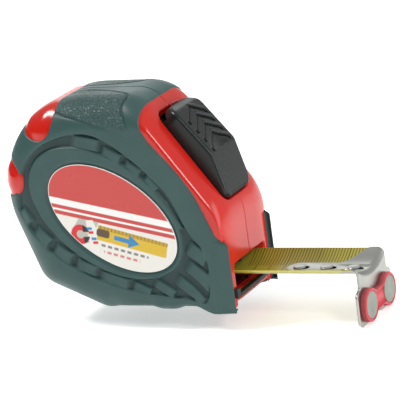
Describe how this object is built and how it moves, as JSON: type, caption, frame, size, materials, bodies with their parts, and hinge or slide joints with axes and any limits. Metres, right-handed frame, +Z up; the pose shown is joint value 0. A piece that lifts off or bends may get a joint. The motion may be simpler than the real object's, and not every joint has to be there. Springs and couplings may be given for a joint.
{
  "type": "tape measure",
  "caption": "Pocket tape measure with rubber covered case, sprung spool, sliding lock button, curved steel tape and floating end hook with magnets.",
  "frame": {"origin": "on the flat of the base, straight below the spool's axis, in the parting plane of the case", "axes": "+X points out of the mouth along the tape, +Z up from the base, +Y across the case away from the labelled side"},
  "size_m": [0.1207, 0.0439, 0.0758],
  "materials": {
    "casing_plastic": "glossy moulded ABS, red",
    "grip_rubber": "matte grey-green overmoulded rubber, textured in places",
    "label_vinyl": "printed vinyl, satin",
    "bumper_rubber": "soft black rubber",
    "clip_steel": "zinc plated spring steel",
    "screw_steel": "zinc plated steel",
    "nylon": "natural nylon",
    "spring_steel": "blued spring steel",
    "black_plastic": "fine-grained black ABS",
    "tape_paint": "yellow painted steel tape with printed graduation",
    "hook_steel": "bright nickel plated steel",
    "holder_plastic": "red moulded plastic",
    "magnet_nickel": "ground and nickel plated magnet"
  },
  "bodies": {
    "case": {"case_left": "casing_plastic", "case_right": "casing_plastic", "grip_left": "grip_rubber", "grip_right": "grip_rubber", "side_label": "label_vinyl", "mouth_bumper": "bumper_rubber", "belt_clip": "clip_steel", "clip_screw": "screw_steel", "case_screws": "screw_steel", "spool_arbor": "screw_steel", "spool_washers": "nylon", "power_spring": "spring_steel", "lock_spring": "spring_steel"},
    "lock": {"lock_button": "black_plastic", "lock_slider": "black_plastic"},
    "spool": {"drum": "nylon", "drum_cover": "nylon", "tape_anchor": "spring_steel", "tape_coil": "tape_paint"},
    "tape": {"tape_blade": "tape_paint", "hook_rivets": "hook_steel"},
    "hook": {"end_hook": "hook_steel", "magnet_holder": "holder_plastic", "magnets": "magnet_nickel"}
  },
  "joints": [
    {"name": "tape_pull", "type": "slide", "parent": "case", "child": "tape", "axis": [1, 0, 0], "range_m": [-0.0381, 0.006]},
    {"name": "spool_spin", "type": "hinge", "parent": "case", "child": "spool", "pos_m": [0, 0, 0.0365], "axis": [0, -1, 0], "range_deg": [-100, 17]},
    {"name": "lock_slide", "type": "slide", "parent": "case", "child": "lock", "axis": [-0.5779, 0, 0.8161], "range_m": [0, 0.003]},
    {"name": "hook_float", "type": "slide", "parent": "tape", "child": "hook", "axis": [1, 0, 0], "range_m": [-0.001, 0]}
  ],
  "couplings": [
    {"joint": "spool_spin", "follows": "tape_pull", "rad_per_m": 44.906}
  ]
}
